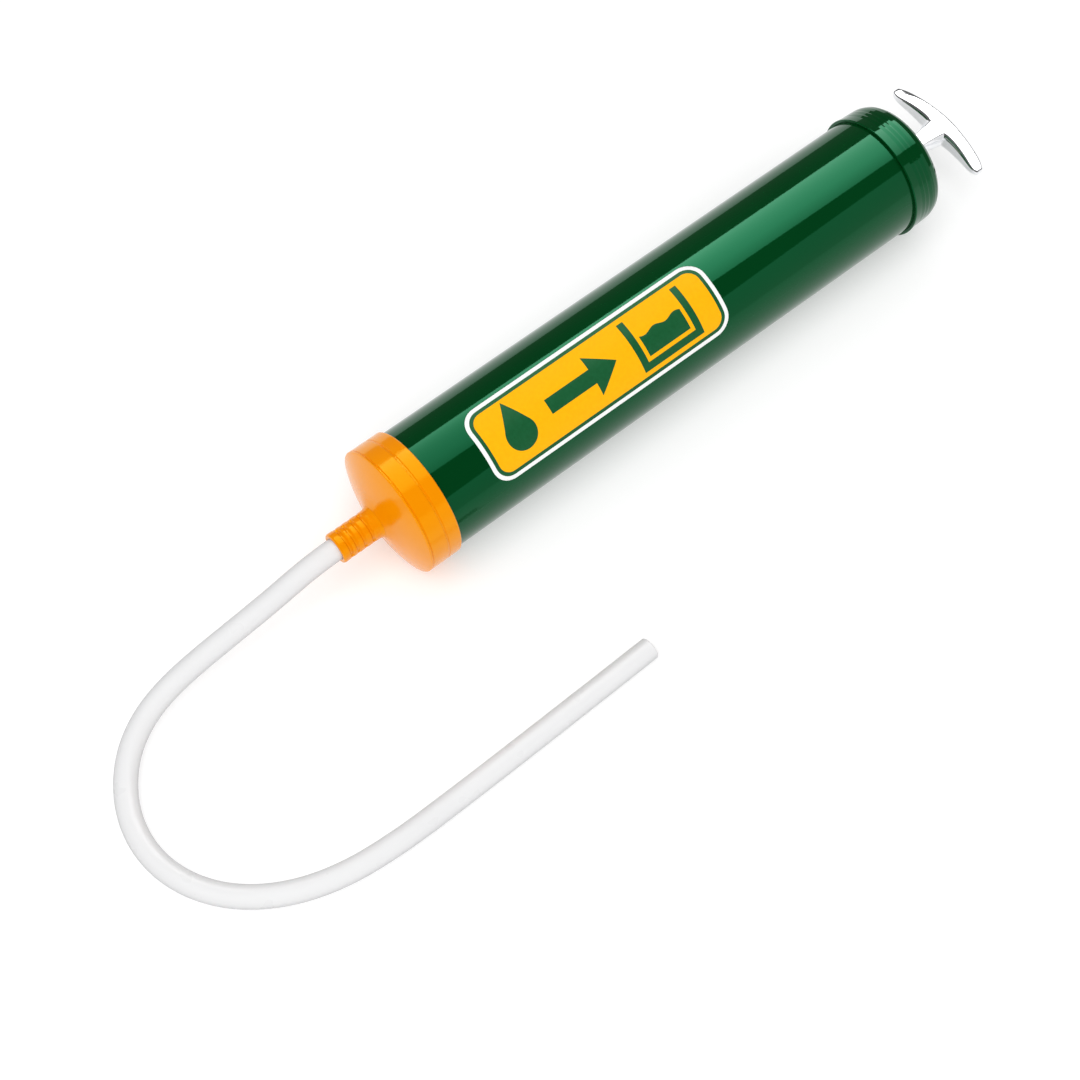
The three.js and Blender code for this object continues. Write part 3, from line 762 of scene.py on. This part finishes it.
world = bpy.data.worlds.new("studio")
scene.world = world
world.use_nodes = True
_w = world.node_tree
_bg = _w.nodes["Background"]
_lp = _w.nodes.new("ShaderNodeLightPath")
_mixw = _w.nodes.new("ShaderNodeMixShader")
_bg2 = _w.nodes.new("ShaderNodeBackground")
_bg.inputs["Color"].default_value = (1, 1, 1, 1)
_bg.inputs["Strength"].default_value = 0.74
_bg2.inputs["Color"].default_value = (1, 1, 1, 1)
_bg2.inputs["Strength"].default_value = 0.14
_w.links.new(_lp.outputs["Is Glossy Ray"], _mixw.inputs[0])
_w.links.new(_bg.outputs[0], _mixw.inputs[1])
_w.links.new(_bg2.outputs[0], _mixw.inputs[2])
_bg3 = _w.nodes.new("ShaderNodeBackground")
_bg3.inputs["Color"].default_value = (1, 1, 1, 1)
_bg3.inputs["Strength"].default_value = 1.0
_mixc = _w.nodes.new("ShaderNodeMixShader")
_w.links.new(_lp.outputs["Is Camera Ray"], _mixc.inputs[0])
_w.links.new(_mixw.outputs[0], _mixc.inputs[1])
_w.links.new(_bg3.outputs[0], _mixc.inputs[2])
_w.links.new(_mixc.outputs[0], _w.nodes["World Output"].inputs["Surface"])


def area(name, centre, target, size_x, size_y, radiance, diffuse=True, glossy=True, gradient=None):
    """Rectangular softbox. radiance is what a mirror would see; size_x runs along the row's X where it can."""
    data = bpy.data.lights.new(name, "AREA")
    data.shape = "RECTANGLE"
    data.size, data.size_y = size_x, size_y
    data.energy = radiance * size_x * size_y * math.pi
    obj = bpy.data.objects.new(name, data)
    scene.collection.objects.link(obj)
    obj.location = centre
    z = (Vector(centre) - Vector(target)).normalized()
    x = Vector((1, 0, 0))
    x = (x - z * x.dot(z)).normalized()
    y = z.cross(x)
    from mathutils import Matrix
    obj.rotation_mode = "QUATERNION"
    obj.rotation_quaternion = Matrix((x, y, z)).transposed().to_quaternion()
    obj.visible_camera = False
    obj.visible_diffuse = diffuse
    obj.visible_glossy = glossy
    return obj


def card(name, xs, ys, place, glow):
    """A large soft reflector that only mirror-like rays see. place(x, y) gives a point, glow(x, y) its neutral light."""
    verts = [tuple(place(x, y)) for y in ys for x in xs]
    nx, ny = len(xs), len(ys)
    faces = [(j * nx + i, j * nx + i + 1, (j + 1) * nx + i + 1, (j + 1) * nx + i) for j in range(ny - 1) for i in range(nx - 1)]
    mesh = bpy.data.meshes.new(name)
    mesh.from_pydata(verts, [], faces)
    attr = mesh.attributes.new("glow", "FLOAT_VECTOR", "POINT")
    attr.data.foreach_set("vector", np.repeat(np.array([glow(x, y) for y in ys for x in xs], dtype=np.float32), 3))
    m = bpy.data.materials.new(name)
    m.use_nodes = True
    nt = m.node_tree
    nt.nodes.clear()
    out = nt.nodes.new("ShaderNodeOutputMaterial")
    em = nt.nodes.new("ShaderNodeEmission")
    at_node = nt.nodes.new("ShaderNodeAttribute")
    at_node.attribute_name = "glow"
    em.inputs["Strength"].default_value = 1.0
    nt.links.new(at_node.outputs["Vector"], em.inputs["Color"])
    nt.links.new(em.outputs[0], out.inputs["Surface"])
    m.cycles.emission_sampling = "NONE"
    mesh.materials.append(m)
    obj = bpy.data.objects.new(name, mesh)
    scene.collection.objects.link(obj)
    obj.visible_camera = False
    obj.visible_diffuse = False
    obj.visible_transmission = False
    obj.visible_volume_scatter = False
    obj.visible_shadow = False
    return obj


def soft(t):
    t = min(1.0, max(0.0, t))
    return t * t * (3 - 2 * t)


def ramp(v, *stops):
    return float(np.interp(v, [p[0] for p in stops], [p[1] for p in stops]))


# overhead softbox: its reflection is the broad band along the barrel (metres)
def top_edge_low(x):
    return ramp(x, (0.37, -0.28), (0.78, -0.40), (0.90, -0.44))


def top_edge_high(x):
    return ramp(x, (0.52, 1.21), (1.0, 1.07))


card("softbox_top", list(np.linspace(0.20, 2.2, 41)), list(np.linspace(0.0, 1.0, 25)),
     lambda x, v: at(x * 1000, (top_edge_low(x) * (1 - v) + top_edge_high(x) * v) * 1000, 1200 - 30),
     lambda x, v: ramp(top_edge_low(x) * (1 - v) + top_edge_high(x) * v, (-0.42, 2.3), (0.04, 4.1), (1.1, 6.2)) * (0.56 + 0.44 * soft((x - 0.30) / 0.5)))

# low front panel: the faint lift on the near side
card("panel_front", list(np.linspace(-0.9, 2.4, 34)), list(np.linspace(0.0, 1.0, 9)),
     lambda x, v: at(x * 1000, -1500, v * 1000 * ramp(x, (-0.9, 0.15), (0.52, 0.83), (1.17, 1.33), (1.36, 1.43), (2.4, 1.6)) - 30),
     lambda x, v: 0.85 + 0.15 * v)


# soft key that shapes the form
area("softbox_key", (-0.50, -0.38, 1.30), (0.0, -0.05, 0.0), 1.3, 1.3, 1.95, diffuse=True, glossy=False)

scene.view_settings.view_transform = "Standard"
scene.view_settings.look = "None"
scene.view_settings.exposure = 0.0
scene.view_settings.gamma = 1.0
